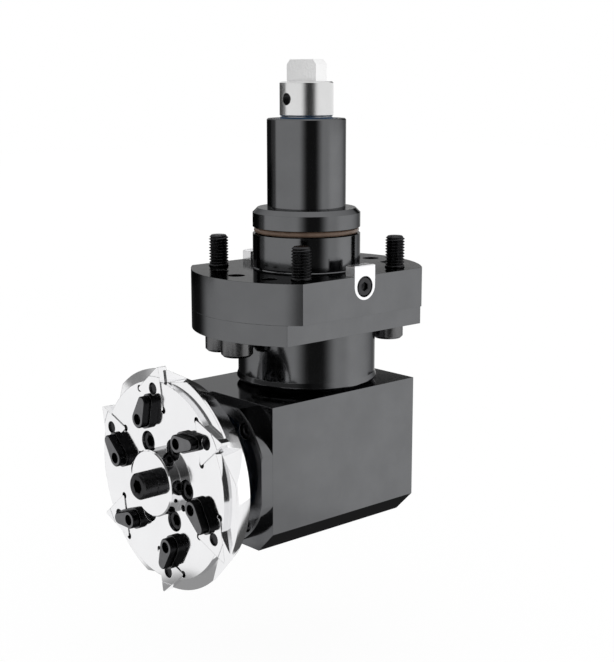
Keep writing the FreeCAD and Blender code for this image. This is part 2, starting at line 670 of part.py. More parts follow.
def spindle_gear():
    half_tooth = 180.0 / TEETH
    gear = bevel_gear(GEAR_BORE_R, GEAR_HUB_R, FRONT_STACK_REAR, 90 + half_tooth)
    keyway = block(GEAR_BORE_R - GEAR_KEY_H / 2, GEAR_BORE_R + GEAR_KEY_H / 2,
                   -GEAR_KEY_W / 2, GEAR_KEY_W / 2, GEAR_FRONT, FRONT_STACK_REAR)
    return on_spindle(gear.cut(keyway))


def pinion_key():
    half = GEAR_KEY_H / 2
    low = AXIS_LEVEL + GEAR_BACK
    return block(PINION_BORE_R - half, PINION_BORE_R + half, -GEAR_KEY_W / 2, GEAR_KEY_W / 2,
                 low, low + PINION_KEY_LENGTH)


def spindle_gear_key():
    half = GEAR_KEY_H / 2
    return on_spindle(block(GEAR_BORE_R - half, GEAR_BORE_R + half, -GEAR_KEY_W / 2, GEAR_KEY_W / 2,
                            GEAR_FRONT + 0.5, FRONT_STACK_REAR - 0.5))


def pinion_washer():
    low = AXIS_LEVEL + GEAR_FRONT
    washer = bar(END_WASHER_R, low, low + END_WASHER_T)
    cone = Part.makeCone(2 * END_SCREW_R, END_SCREW_R, END_WASHER_T, Vector(0, 0, low))
    return washer.cut(cone)


def pinion_screw():
    low = AXIS_LEVEL + GEAR_FRONT
    head = Part.makeCone(2 * END_SCREW_R, END_SCREW_R, END_WASHER_T, Vector(0, 0, low))
    shank = bar(END_SCREW_R, low + END_WASHER_T, low + END_WASHER_T + END_SCREW_LENGTH)
    return head.fuse(shank).cut(hexagon(END_SCREW_R * 1.3, low, low + 2)).removeSplitter()


# Spindle and what turns with it, built up Z and laid over
def spindle():
    tail = BLOCK_REAR - REAR_COVER_T - RUN_GAP
    nose_low = CUTTER_REAR - NOSE_T
    body = turned([
        (0, -tail), (REAR_BEARING[0], -tail), (REAR_BEARING[0], -REAR_BEARING_FRONT),
        (SPINDLE_WAIST_R, -REAR_BEARING_FRONT), (SPINDLE_WAIST_R, GEAR_FRONT - LOCK_NUT_H),
        (LOCK_NUT_BORE_R, GEAR_FRONT - LOCK_NUT_H), (LOCK_NUT_BORE_R, GEAR_FRONT),
        (GEAR_BORE_R, GEAR_FRONT), (GEAR_BORE_R, FRONT_STACK_REAR),
        (FRONT_BEARING[0], FRONT_STACK_REAR), (FRONT_BEARING[0], FRONT_STACK_FRONT),
        (SEAL_JOURNAL_R, FRONT_STACK_FRONT), (SEAL_JOURNAL_R, nose_low - 3), (NOSE_R - 3, nose_low - 3),
        (NOSE_R, nose_low), (NOSE_R, CUTTER_REAR), (PILOT_R, CUTTER_REAR),
        (PILOT_R, CUTTER_REAR + PILOT_LENGTH), (0, CUTTER_REAR + PILOT_LENGTH),
    ])
    clip_low = -REAR_BEARING_REAR - CIRCLIP_T
    groove = tube(REAR_BEARING[0] + 1, REAR_BEARING[0] - CIRCLIP_DEPTH, clip_low, clip_low + CIRCLIP_T)
    keyway = block(GEAR_BORE_R - GEAR_KEY_H / 2, GEAR_BORE_R, -GEAR_KEY_W / 2, GEAR_KEY_W / 2,
                   GEAR_FRONT, FRONT_STACK_REAR)
    tap = bar(MOUNT_SCREW_D / 2, CUTTER_REAR - MOUNT_THREAD_LENGTH, CUTTER_REAR, MOUNT_CIRCLE_R)
    pilot_end = CUTTER_REAR + PILOT_LENGTH
    screw_low = CUTTER_FACE + WASHER_T - CENTRE_SCREW_LENGTH
    centre_tap = bar(CENTRE_SCREW_D / 2, screw_low, pilot_end)
    dog = block(NOSE_R - DRIVE_KEY_LENGTH, NOSE_R + 1, -DRIVE_KEY_W / 2, DRIVE_KEY_W / 2,
                CUTTER_REAR - DRIVE_KEY_DEPTH, CUTTER_REAR)
    cuts = [groove, keyway, centre_tap] + around(tap, STATIONS) + around(dog, 2, 90)
    return on_spindle(body.cut(cuts))


def cutter_drive_keys():
    key = block(NOSE_R - DRIVE_KEY_LENGTH, NOSE_R, -DRIVE_KEY_W / 2, DRIVE_KEY_W / 2,
                CUTTER_REAR - DRIVE_KEY_DEPTH, CUTTER_REAR + DRIVE_KEY_DEPTH)
    return [on_spindle(one) for one in around(key, 2, 90)]


def spindle_lock_nut():
    return on_spindle(ring_nut(LOCK_NUT_R, LOCK_NUT_BORE_R, GEAR_FRONT - LOCK_NUT_H, GEAR_FRONT, 4, 3.0))


def front_cover():
    flat = BLOCK_HALF_WIDTH
    rim = turned([
        (0, BLOCK_FRONT), (COVER_R, BLOCK_FRONT), (COVER_R, COVER_FRONT - COVER_EDGE),
        (COVER_R - COVER_EDGE, COVER_FRONT), (0, COVER_FRONT),
    ])
    plate = rim.common(block(-flat, flat, -COVER_RISE, COVER_RISE, BLOCK_FRONT, COVER_FRONT))
    spigot = bar(FRONT_BEARING[1] - SLIDE_GAP, FRONT_STACK_FRONT, BLOCK_FRONT)
    seal_low = COVER_FRONT - FRONT_SEAL_H
    hole = bar(COVER_SCREW_D / 2 + HOLE_GAP, BLOCK_FRONT, COVER_FRONT, COVER_SCREW_CIRCLE_R)
    sink = bar(COVER_SINK_D / 2, COVER_FRONT - COVER_SINK_DEPTH, COVER_FRONT, COVER_SCREW_CIRCLE_R)
    cuts = [bar(COVER_SPIGOT_BORE_R, FRONT_STACK_FRONT, seal_low), bar(FRONT_SEAL_R, seal_low, COVER_FRONT)]
    cuts += around(hole, 4, 45) + around(sink, 4, 45)
    return on_spindle(tidy(plate.fuse(spigot).cut(cuts)))


def front_cover_screws():
    screw = cap_screw(COVER_SCREW_D, COVER_SCREW_HEAD_D, COVER_SCREW_HEAD_H, COVER_SCREW_LENGTH)
    screw = shifted(screw, COVER_SCREW_CIRCLE_R, 0, COVER_FRONT - COVER_SINK_DEPTH)
    return [on_spindle(one) for one in around(screw, 4, 45)]


def front_seal():
    lip_r = SEAL_JOURNAL_R + LIP_GAP
    low = COVER_FRONT - FRONT_SEAL_H
    return on_spindle(turned([
        (lip_r, low), (FRONT_SEAL_R, low), (FRONT_SEAL_R, COVER_FRONT - 0.5), (FRONT_SEAL_R - 0.5, COVER_FRONT),
        (lip_r + 2, COVER_FRONT), (lip_r, COVER_FRONT - 2),
    ]))


def rear_cover():
    low = -BLOCK_REAR
    high = low + REAR_COVER_T
    plate = turned([(0, low), (REAR_COVER_R - 0.5, low), (REAR_COVER_R, low + 0.5), (REAR_COVER_R, high), (0, high)])
    shank_r = COVER_SCREW_D / 2 + HOLE_GAP
    sink_h = REAR_SCREW_HEAD_R - COVER_SCREW_D / 2
    hole = bar(shank_r, low, high, REAR_SCREW_CIRCLE_R)
    sink = Part.makeCone(REAR_SCREW_HEAD_R + HOLE_GAP, shank_r, sink_h, Vector(REAR_SCREW_CIRCLE_R, 0, low))
    return on_spindle(tidy(plate.cut(around(hole, 4, 45) + around(sink, 4, 45))))


def rear_cover_screws():
    low = -BLOCK_REAR
    radius = COVER_SCREW_D / 2
    sink_h = REAR_SCREW_HEAD_R - radius
    screw = turned([(0, low), (REAR_SCREW_HEAD_R, low), (radius, low + sink_h), (radius, low + REAR_SCREW_LENGTH),
                    (0, low + REAR_SCREW_LENGTH)])
    screw = shifted(screw.cut(hexagon(2.5, low, low + 1.4)), REAR_SCREW_CIRCLE_R)
    return [on_spindle(one) for one in around(screw, 4, 45)]


# Cutter head and its six stations, each built at angle 0 and turned into place
def insert_form(low, high, growth=0.0):
    """The triangular insert, its middle at the station's hole."""
    corner = 2 * (INSERT_INSCRIBED_R + growth - INSERT_NOSE_R)
    centres = [Vector(*polar(corner, INSERT_TURN + 120 * index), low) for index in range(3)]
    discs = [Part.makeCylinder(INSERT_NOSE_R, high - low, centre) for centre in centres]
    inner = (corner / 2 + INSERT_NOSE_R) * 2
    points = []
    for index in range(3):
        side = INSERT_TURN + 60 + 120 * index
        normal = Vector(*polar(INSERT_NOSE_R, side), 0)
        points.append(centres[index] + normal)
        points.append(centres[(index + 1) % 3] + normal)
    prism = Part.Face(Part.makePolygon(points + points[:1])).extrude(Vector(0, 0, high - low))
    return shifted(tidy(prism.fuse(discs)), INSERT_CIRCLE_R)


def finger_line():
    """Where the clamp's screw is, and the direction from it to the insert's hole, in degrees."""
    x, y = polar(FINGER_SCREW_CIRCLE_R, FINGER_SCREW_LEAD)
    return x, y, math.degrees(math.atan2(-y, INSERT_CIRCLE_R - x))


def gullet():
    low, high = CUTTER_REAR - 1, CUTTER_FACE + 1
    start = Vector(*polar(CUTTER_RIM_R, GULLET_START), low)
    foot = Vector(*polar(GULLET_FOOT_R, GULLET_FOOT), low)
    end = Vector(*polar(CUTTER_RIM_R + 1, GULLET_END), low)
    beyond = [Vector(*polar(CUTTER_RIM_R + 8, angle), low) for angle in (GULLET_END, GULLET_START)]
    loop = [start, foot, end] + beyond
    return Part.Face(Part.makePolygon(loop + loop[:1])).extrude(Vector(0, 0, high - low))


def cutter_body():
    blank = turned([
        (PILOT_R + SLIDE_GAP, CUTTER_REAR), (CUTTER_REAR_R, CUTTER_REAR), (CUTTER_RIM_R, CUTTER_RIM - 1.2),
        (CUTTER_RIM_R, CUTTER_RIM), (CUTTER_FACE_R, CUTTER_RIM), (CUTTER_FACE_R, CUTTER_FACE),
        (PILOT_R + SLIDE_GAP, CUTTER_FACE),
    ])
    finger_x, finger_y, _ = finger_line()
    reliefs = []
    for turn_by in (120, 240):
        x, y = polar(2 * INSERT_INSCRIBED_R - INSERT_NOSE_R, INSERT_TURN + turn_by)
        reliefs.append(bar(POCKET_RELIEF_R, INSERT_SEAT - 0.2, CUTTER_FACE, INSERT_CIRCLE_R + x, y))
    station = [
        insert_form(INSERT_SEAT, CUTTER_FACE),
        bar(INSERT_HOLE_D / 2 - 0.1, INSERT_SEAT - 5, INSERT_SEAT, INSERT_CIRCLE_R),
        bar(FINGER_SCREW_D / 2, CUTTER_FACE - FINGER_SCREW_DEPTH, CUTTER_FACE, finger_x, finger_y),
        gullet(),
    ] + reliefs
    cuts = [one for tool in station for one in around(tool, STATIONS, FIRST_STATION)]
    hole = bar(MOUNT_SCREW_D / 2 + HOLE_GAP, CUTTER_REAR, CUTTER_FACE, MOUNT_CIRCLE_R)
    sink = bar(MOUNT_SINK_D / 2, CUTTER_FACE - MOUNT_SINK_DEPTH, CUTTER_FACE, MOUNT_CIRCLE_R)
    dog = block(NOSE_R - DRIVE_KEY_LENGTH - 1, NOSE_R + 1, -DRIVE_KEY_W / 2, DRIVE_KEY_W / 2,
                CUTTER_REAR, CUTTER_REAR + DRIVE_KEY_DEPTH)
    jack = bar(JACK_D / 2, CUTTER_FACE - JACK_DEPTH, CUTTER_FACE, JACK_CIRCLE_R)
    cuts += around(hole, STATIONS) + around(sink, STATIONS) + around(dog, 2, 90) + around(jack, 2, JACK_ANGLE)
    return on_spindle(tidy(blank.cut(cuts)))


def stations(shape):
    return [on_spindle(one) for one in around(shape, STATIONS, FIRST_STATION)]


def cutting_inserts():
    hole = bar(INSERT_HOLE_D / 2, INSERT_SEAT, INSERT_TOP, INSERT_CIRCLE_R)
    breaker = tube(CHIP_GROOVE_R, CHIP_GROOVE_R - CHIP_GROOVE_W, INSERT_TOP - CHIP_GROOVE_DEPTH, INSERT_TOP)
    return stations(insert_form(INSERT_SEAT, INSERT_TOP).cut([hole, breaker]))


def insert_pins():
    return stations(bar(INSERT_HOLE_D / 2 - 0.1, INSERT_SEAT - 5, INSERT_TOP - INSERT_PIN_SINK, INSERT_CIRCLE_R))


def finger_tier(low, high, inset):
    """One tier of the clamp: a round heel about the screw, narrowing to a round tip."""
    heel_r, tip_r = FINGER_HEEL_R - inset, FINGER_TIP_R - inset
    tip = Vector(FINGER_REACH, 0, low)
    up = 90 - math.degrees(math.asin((heel_r - tip_r) / FINGER_REACH))
    points = [Vector(*polar(heel_r, up), low), Vector(*polar(heel_r, -up), low),
              tip + Vector(*polar(tip_r, -up), 0), tip + Vector(*polar(tip_r, up), 0)]
    web = Part.Face(Part.makePolygon(points + points[:1])).extrude(Vector(0, 0, high - low))
    return tidy(web.fuse([bar(heel_r, low, high), bar(tip_r, low, high, FINGER_REACH)]))


def finger_clamps():
    x, y, direction = finger_line()
    low, high = CUTTER_FACE, CUTTER_FACE + FINGER_H
    step = low + FINGER_STEP
    front = finger_tier(step, high, FINGER_INSET)
    front = front.makeChamfer(0.4, [edge for edge in front.Edges if edge.BoundBox.ZMin > high - 0.01])
    form = tidy(finger_tier(low, step, 0).fuse(front))
    groove = finger_tier(step, step + FINGER_GROOVE, -1.0)
    form = form.cut(groove.cut(finger_tier(step, step + FINGER_GROOVE, 2 * FINGER_INSET)))
    form = form.cut(bar(FINGER_SCREW_D / 2 + 0.1, low, high))
    form = shifted(turn(form, direction), x, y)
    return stations(form.cut(insert_form(INSERT_SEAT, INSERT_TOP)))


def finger_screws():
    x, y, _ = finger_line()
    top = CUTTER_FACE + FINGER_H - FINGER_SCREW_SINK
    screw = bar(FINGER_SCREW_D / 2, CUTTER_FACE - FINGER_SCREW_DEPTH, top)
    return stations(shifted(screw.cut(hexagon(FINGER_SCREW_D * 0.6, top - 2.5, top)), x, y))


def cutter_mount_screws():
    screw = cap_screw(MOUNT_SCREW_D, MOUNT_HEAD_D, MOUNT_HEAD_H,
                      CUTTER_FACE - MOUNT_SINK_DEPTH - CUTTER_REAR + MOUNT_THREAD_LENGTH - 1)
    screw = shifted(screw, MOUNT_CIRCLE_R, 0, CUTTER_FACE - MOUNT_SINK_DEPTH)
    return [on_spindle(one) for one in around(screw, STATIONS)]


def retaining_washer():
    high = CUTTER_FACE + WASHER_T
    washer = turned([
        (CENTRE_SCREW_D / 2 + HOLE_GAP, CUTTER_FACE), (WASHER_R, CUTTER_FACE), (WASHER_R, high - 0.6),
        (WASHER_R - 0.6, high), (CENTRE_SCREW_D / 2 + HOLE_GAP, high),
    ])
    return on_spindle(washer)


def centre_screw():
    screw = cap_screw(CENTRE_SCREW_D, CENTRE_HEAD_D, CENTRE_HEAD_H, CENTRE_SCREW_LENGTH)
    return on_spindle(shifted(screw, 0, 0, CUTTER_FACE + WASHER_T))


def main():
    os.makedirs("parts", exist_ok=True)
    export("shank_housing", shank_housing())
    export("upper_flange", upper_flange())
    export("neck_flange", neck_flange())
    export("neck_screws", neck_screws())
    export("gear_block", gear_block())
    export("orientation_keys", orientation_keys())
    export("key_screws", key_screws())
    export("turret_clamp_screws", clamp_screws())
    export("flange_joint_screws", joint_screws())
    export("flange_dowel_pins", dowel_pins())
    export("shank_o_ring", o_ring())
    export("shaft_seal", top_seal())
    clip_low = SEAL_POCKET_BOTTOM - CIRCLIP_T
    clip_r = TOP_BEARING[1] + CIRCLIP_DEPTH
    export("quill_circlip", circlip(clip_r, clip_r - 3.0, clip_low))
    export("quill_bearing_outer_ring", outer_ring(TOP_BEARING, TOP_BEARING_LEVEL))
    export("quill_bearing_inner_ring", inner_ring(TOP_BEARING, TOP_BEARING_LEVEL))
    export("shaft_spacer_sleeve", tube(SPACER_R, SHAFT_R, NECK_STACK_TOP, TOP_BEARING_LEVEL))
    export("neck_bearing_outer_rings", stacked(outer_ring, NECK_BEARING, BLOCK_TOP, 2))
    export("neck_bearing_inner_rings", stacked(inner_ring, NECK_BEARING, BLOCK_TOP, 2))
    nut = ring_nut(RING_NUT_R, RING_NUT_BORE_R, NECK_STACK_TOP, NECK_STACK_TOP + RING_NUT_H)
    export("neck_ring_nut", nut)
    export("drive_shaft", drive_shaft())
    export("drive_tang", drive_tang())
    export("tang_pin", tang_pin())
    export("bevel_pinion", bevel_pinion())
    export("pinion_key", pinion_key())
    export("pinion_washer", pinion_washer())
    export("pinion_screw", pinion_screw())
    export("spindle", spindle())
    export("spindle_gear", spindle_gear())
    export("spindle_gear_key", spindle_gear_key())
    export("spindle_lock_nut", spindle_lock_nut())
    outer = stacked(outer_ring, FRONT_BEARING, FRONT_STACK_REAR, 2)
    inner = stacked(inner_ring, FRONT_BEARING, FRONT_STACK_REAR, 2)
    export("front_bearing_outer_rings", [on_spindle(ring) for ring in outer])
    export("front_bearing_inner_rings", [on_spindle(ring) for ring in inner])
    export("rear_bearing_outer_ring", on_spindle(outer_ring(REAR_BEARING, -REAR_BEARING_REAR)))
    export("rear_bearing_inner_ring", on_spindle(inner_ring(REAR_BEARING, -REAR_BEARING_REAR)))
    tail_clip = circlip(REAR_BEARING[0] + 2.0, REAR_BEARING[0] - CIRCLIP_DEPTH, -REAR_BEARING_REAR - CIRCLIP_T)
    export("spindle_circlip", on_spindle(tail_clip))
    export("front_cover", front_cover())
    export("front_cover_screws", front_cover_screws())
    export("front_seal", front_seal())
    export("rear_cover", rear_cover())
    export("rear_cover_screws", rear_cover_screws())
    export("cutter_body", cutter_body())
    export("cutter_drive_keys", cutter_drive_keys())
    export("cutting_inserts", cutting_inserts())
    export("insert_pins", insert_pins())
    export("finger_clamps", finger_clamps())
    export("finger_clamp_screws", finger_screws())
    export("cutter_mount_screws", cutter_mount_screws())
    export("retaining_washer", retaining_washer())
    export("centre_screw", centre_screw())


main()
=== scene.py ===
# %% [markdown]
# # A radial driven tool holder, dressed around its measured frame
# The holder hangs from a turret by its flange. A shank goes up into the turret, a bevel gear head
# hangs below, and a disc cutter with six inserts looks out sideways. The measured model is loaded
# first and never moved: every finish and every finer piece is laid on it, so the two always agree.

# %% Load the measured frame
import json
import math

import bmesh
import bpy
from mathutils import Matrix, Vector


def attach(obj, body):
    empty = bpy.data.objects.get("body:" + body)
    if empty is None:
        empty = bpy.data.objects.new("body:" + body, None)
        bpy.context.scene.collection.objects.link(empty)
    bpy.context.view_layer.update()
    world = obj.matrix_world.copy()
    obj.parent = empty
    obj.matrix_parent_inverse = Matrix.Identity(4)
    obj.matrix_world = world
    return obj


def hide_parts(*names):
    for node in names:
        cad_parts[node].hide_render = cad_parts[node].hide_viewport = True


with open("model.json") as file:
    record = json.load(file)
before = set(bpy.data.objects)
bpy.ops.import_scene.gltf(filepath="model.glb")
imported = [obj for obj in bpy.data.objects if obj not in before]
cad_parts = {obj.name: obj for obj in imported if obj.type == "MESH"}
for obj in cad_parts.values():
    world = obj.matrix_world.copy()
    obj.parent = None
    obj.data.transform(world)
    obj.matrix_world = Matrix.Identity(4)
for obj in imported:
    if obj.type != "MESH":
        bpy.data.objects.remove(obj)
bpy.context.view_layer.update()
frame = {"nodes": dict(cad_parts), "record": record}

NODES = frame["nodes"]
MM = 0.001

# %% [markdown]
# ## Places that the finer pieces share
# The origin is the middle of the flange's seating face. The spindle lies below it and points
# along -Y, so anything turned about the spindle is made upright first and then laid over. Each
# helper gives a place as a matrix in millimetres, which keeps a screw in its hole wherever the
# hole looks.

# %% Three kinds of place
AXIS_LEVEL = -95.0


def polar(radius, degrees):
    angle = math.radians(degrees)
    return radius * math.cos(angle), radius * math.sin(angle)


def hanging(x, y, z):
    """An upright place turned head down, as the flange's screws are."""
    return Matrix.Translation(Vector((x, y, z))) @ Matrix.Rotation(math.pi, 4, "X")


def on_spindle(radius=0.0, degrees=0.0, reach=0.0):
    """A place on the cutter's side: polar about the spindle, reach millimetres out from the shank."""
    x, y = polar(radius, degrees)
    lay = Matrix.Translation(Vector((0, 0, AXIS_LEVEL))) @ Matrix.Rotation(math.pi / 2, 4, "X")
    turn = Matrix.Rotation(math.radians(degrees), 4, "Z")
    return lay @ Matrix.Translation(Vector((x, y, reach))) @ turn


def sideways(side, level, reach):
    """A place whose axis points away from the shank along X, towards side +1 or -1."""
    turn = Matrix.Rotation(side * math.pi / 2, 4, "Y")
    return Matrix.Translation(Vector((side * reach, 0, level))) @ turn


print("spindle axis at", AXIS_LEVEL, "mm")

# %% [markdown]
# ## One helper for everything that is turned
# Screws, washers and rings are all made on a lathe, so one helper skins a stack of loops. Each
# loop is a height and a radius, and the radius may be a function of the angle, which makes the
# hexagon of a socket, the knurl of a head or the spiral of a thread. Loops with the same number
# of points always join cleanly, which a cut with a boolean would not promise.

# %% Skin a stack of loops
def loop_at(mesh, radius, height, count):
    """One loop of points about Z; a radius of 0 is a single point."""
    if radius == 0:
        return [mesh.verts.new((0, 0, height * MM))]
    ring = []
    for step in range(count):
        angle = 2 * math.pi * step / count
        reach = (radius(angle, height) if callable(radius) else radius) * MM
        ring.append(mesh.verts.new((reach * math.cos(angle), reach * math.sin(angle), height * MM)))
    return ring


def skin(rows, count):
    """A closed bmesh from (radius, height) rows."""
    mesh = bmesh.new()
    loops = [loop_at(mesh, radius, height, count) for radius, height in rows]
    for low, high in zip(loops, loops[1:]):
        for step in range(count):
            after = (step + 1) % count
            if len(low) == 1:
                mesh.faces.new((low[0], high[after], high[step]))
            elif len(high) == 1:
                mesh.faces.new((low[step], low[after], high[0]))
            else:
                mesh.faces.new((low[step], low[after], high[after], high[step]))
    bmesh.ops.recalc_face_normals(mesh, faces=mesh.faces)
    return mesh


print("a skin closes itself at rows of radius 0")

# %% [markdown]
# ## Radii that follow a hexagon or a knurl
# A wrench needs six flats and fingers need ridges. Both are only a radius that changes with the
# angle, so they need no extra geometry: the loops of the skin bend to them.

# %% Bend a loop
SIXTH = math.pi / 3


def hexagon(across_flats):
    """A radius that follows a hexagon, with a corner on the +X side."""
    def radius(angle, height):
        return across_flats / 2 / math.cos(angle % SIXTH - SIXTH / 2)
    return radius


def knurled(radius, depth, teeth):
    """A radius with a fine straight knurl."""
    return lambda angle, height: radius - depth * (0.5 - 0.5 * math.cos(teeth * angle))


print("an 8 mm socket is", round(hexagon(8.0)(0, 0) * 2, 2), "mm across its corners")

# %% [markdown]
# ## Copies of one piece, held by one body
# Screws come in sets. A set is one object that rides on one body, so it turns with the cutter or
# stays with the holder as a whole. Edges steeper than the smooth angle stay crisp and the rest
# is shaded round.

# %% Place a set of copies
SMOOTH_ANGLE = math.radians(32)


def place_copies(name, mesh, places, body):
    """One object that holds a copy of the mesh at each place and rides on the body."""
    whole = bmesh.new()
    for place in places:
        piece = mesh.copy()
        shift = Matrix.Translation(place.to_translation() * MM)
        piece.transform(shift @ place.to_3x3().to_4x4())
        scratch = bpy.data.meshes.new("scratch")
        piece.to_mesh(scratch)
        whole.from_mesh(scratch)
        piece.free()
        bpy.data.meshes.remove(scratch)
    mesh.free()
    data = bpy.data.meshes.new(name)
    whole.to_mesh(data)
    whole.free()
    data.polygons.foreach_set("use_smooth", [True] * len(data.polygons))
    data.set_sharp_from_angle(angle=SMOOTH_ANGLE)
    made = bpy.data.objects.new(name, data)
    bpy.context.scene.collection.objects.link(made)
    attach(made, body)
    print(name, "copies", len(places), "faces", len(data.polygons))
    return made


print("edges stay crisp from", round(math.degrees(SMOOTH_ANGLE)), "degrees")

# %% [markdown]
# ## Short hands for shader nodes
# Every finish is a small tree of nodes, and most of the work is making a node, setting its values
# and linking it. A few helpers keep the recipes below as short as their ideas. A value that is a
# socket is linked and anything else is set.

# %% Make, feed and calculate
def node(tree, kind, place, **values):
    """A node at a place in the editor, with its properties and its sockets set by name."""
    made = tree.nodes.new(kind)
    made.location = place
    for name, value in values.items():
        if hasattr(made, name):
            setattr(made, name, value)
        else:
            made.inputs[name].default_value = value
    return made


def feed(tree, socket, value):
    if isinstance(value, bpy.types.NodeSocket):
        tree.links.new(value, socket)
    else:
        socket.default_value = value


def maths(tree, operation, first, second=None, place=(0, 0)):
    """A sum on numbers."""
    made = node(tree, "ShaderNodeMath", place, operation=operation)
    feed(tree, made.inputs[0], first)
    if second is not None:
        feed(tree, made.inputs[1], second)
    return made.outputs["Value"]


def arrows(tree, operation, first, second=None, place=(0, 0), result="Vector"):
    """A sum on directions; only SCALE takes a number as its second."""
    made = node(tree, "ShaderNodeVectorMath", place, operation=operation)
    feed(tree, made.inputs[0], first)
    if second is not None:
        feed(tree, made.inputs["Scale" if operation == "SCALE" else 1], second)
    return made.outputs[result]


def map_range(made, low, high, to_low, to_high):
    for name, value in (("From Min", low), ("From Max", high), ("To Min", to_low), ("To Max", to_high)):
        made.inputs[name].default_value = value


print("helpers ready for", bpy.app.version_string)

# %% [markdown]
# ## What makes steel look like steel
# Blackened or ground steel is never even. A soft noise clouds its tone and its gloss, and a
# second noise, squeezed along one way, lays the lines that grinding or turning leaves. Both are
# read from the piece's own coordinates, so they stay with the piece when the spindle turns. An
# image could do the same, but it would need an unwrapped mesh.

# %% Clouds, lines, tone and gloss
CLOUDS_FROM, CLOUDS_TO = 0.3, 0.7
GLOSS_FROM, GLOSS_TO = 0.6, 1.4
SHINIEST, DULLEST = 0.75, 1.3


def clouds_and_lines(tree, grain, cloud_scale, grain_scale):
    """Two noises in the piece's own coordinates; the grain squeezes the second into lines."""
    here = node(tree, "ShaderNodeTexCoord", (-1400, 0))
    squeeze = node(tree, "ShaderNodeMapping", (-1200, -200), Scale=grain)
    clouds = node(tree, "ShaderNodeTexNoise", (-1000, 200), Scale=cloud_scale, Detail=4.0, Roughness=0.6)
    lines = node(tree, "ShaderNodeTexNoise", (-1000, -200), Scale=grain_scale, Detail=2.0, Roughness=0.5)
    tree.links.new(here.outputs["Object"], squeeze.inputs["Vector"])
    tree.links.new(here.outputs["Object"], clouds.inputs["Vector"])
    tree.links.new(squeeze.outputs["Vector"], lines.inputs["Vector"])
    return clouds.outputs["Fac"], lines.outputs["Fac"]


def clouded_tone(tree, clouds, colour, cloud):
    """The colour, darker and lighter by the cloud share."""
    tone = node(tree, "ShaderNodeValToRGB", (-700, 300))
    dark, light = tone.color_ramp.elements
    dark.position, light.position = CLOUDS_FROM, CLOUDS_TO
    dark.color = [part * (1 - cloud) for part in colour] + [1]
    light.color = [min(1, part * (1 + cloud)) for part in colour] + [1]
    tree.links.new(clouds, tone.inputs["Fac"])
    return tone.outputs["Color"]


def uneven_gloss(tree, clouds, lines, rough):
    gloss = node(tree, "ShaderNodeMapRange", (-450, 0))
    map_range(gloss, GLOSS_FROM, GLOSS_TO, rough * SHINIEST, rough * DULLEST)
    tree.links.new(maths(tree, "ADD", clouds, lines, (-700, 0)), gloss.inputs["Value"])
    return gloss.outputs["Result"]


print("roughness runs from", SHINIEST, "to", DULLEST, "of what is asked")

# %% [markdown]
# ## The recipe for metal
# A measured mesh has knife edges, and no machined part has: a deburred edge catches a thin line
# of light. The bevel node turns the light over the last quarter of a millimetre before each
# edge, which never tears a face the way a cut edge can on a plate full of holes. The tint at the
# edge of view keeps black steel black where it is seen at a flat angle.

# %% Mix one metal
BEVEL_SAMPLES = 6
GRAIN_DISTANCE = 0.0001


def lines_on_broken_edges(tree, lines, grain_depth, edge):
    broken = node(tree, "ShaderNodeBevel", (-700, -450), samples=BEVEL_SAMPLES, Radius=edge * MM)
    bump = node(tree, "ShaderNodeBump", (-450, -300), Strength=grain_depth, Distance=GRAIN_DISTANCE)
    tree.links.new(broken.outputs["Normal"], bump.inputs["Normal"])
    tree.links.new(lines, bump.inputs["Height"])
    return bump.outputs["Normal"]


def steel(name, colour, rough, cloud=0.12, grain=(1, 1, 1), grain_depth=0.05, metal=1.0, edge_tint=1.0,
          cloud_scale=60.0, grain_scale=900.0, edge=0.25):
    """A metal with clouded tone and gloss, a grain, and edges broken over edge millimetres."""
    material = bpy.data.materials.new(name)
    material.use_nodes = True
    tree = material.node_tree
    shader = tree.nodes["Principled BSDF"]
    shader.inputs["Metallic"].default_value = metal
    shader.inputs["Specular Tint"].default_value = (edge_tint, edge_tint, edge_tint, 1)
    clouds, lines = clouds_and_lines(tree, grain, cloud_scale, grain_scale)
    tree.links.new(clouded_tone(tree, clouds, colour, cloud), shader.inputs["Base Color"])
    tree.links.new(uneven_gloss(tree, clouds, lines, rough), shader.inputs["Roughness"])
    tree.links.new(lines_on_broken_edges(tree, lines, grain_depth, edge), shader.inputs["Normal"])
    return material


def rubber(name, colour, rough):
    material = steel(name, colour, rough, cloud=0.2, metal=0.0, cloud_scale=300.0, grain_depth=0.2)
    material.node_tree.nodes["Principled BSDF"].inputs["Specular IOR Level"].default_value = 0.4
    return material


print("edges are broken with", BEVEL_SAMPLES, "samples")

# %% [markdown]
# ## Clamps with painted shade on their sides
# The six finger clamps keep their black tone on their front faces, and every other face gets a
# far darker colour as painted shade. Two materials on one mesh would do it, but the measured mesh
# is left as it is. So the material itself asks which way a face looks in the piece's own
# coordinates, where the cutter's front always looks along -Y.

# %% Tell a front face from the rest
LOOKS_FORWARD = -0.9


def front_faces(tree, place):
    """One where the piece's own surface looks along -Y, and nought elsewhere."""
    here = node(tree, "ShaderNodeTexCoord", place)
    split = node(tree, "ShaderNodeSeparateXYZ", (place[0] + 200, place[1]))
    tree.links.new(here.outputs["Normal"], split.inputs["Vector"])
    return maths(tree, "LESS_THAN", split.outputs["Y"], LOOKS_FORWARD, (place[0] + 400, place[1]))


def shade_all_but_front(material, side_shade):
    """Keep the tone on the front faces and give all other faces a darker colour as painted shade."""
    tree = material.node_tree
    shader = tree.nodes["Principled BSDF"]
    tone = shader.inputs["Base Color"].links[0].from_socket
    blend = node(tree, "ShaderNodeMix", (-300, 400), data_type="RGBA")
    shade_socket, own = blend.inputs[6], blend.inputs[7]
    # Every face but the front ones gets this darker colour: painted shade.
    shade_socket.default_value = list(side_shade) + [1]
    tree.links.new(tone, own)
    tree.links.new(front_faces(tree, (-1000, 600)), blend.inputs["Factor"])
    tree.links.new(blend.outputs[2], shader.inputs["Base Color"])
    return material


print("a front face looks forward by more than", -LOOKS_FORWARD)

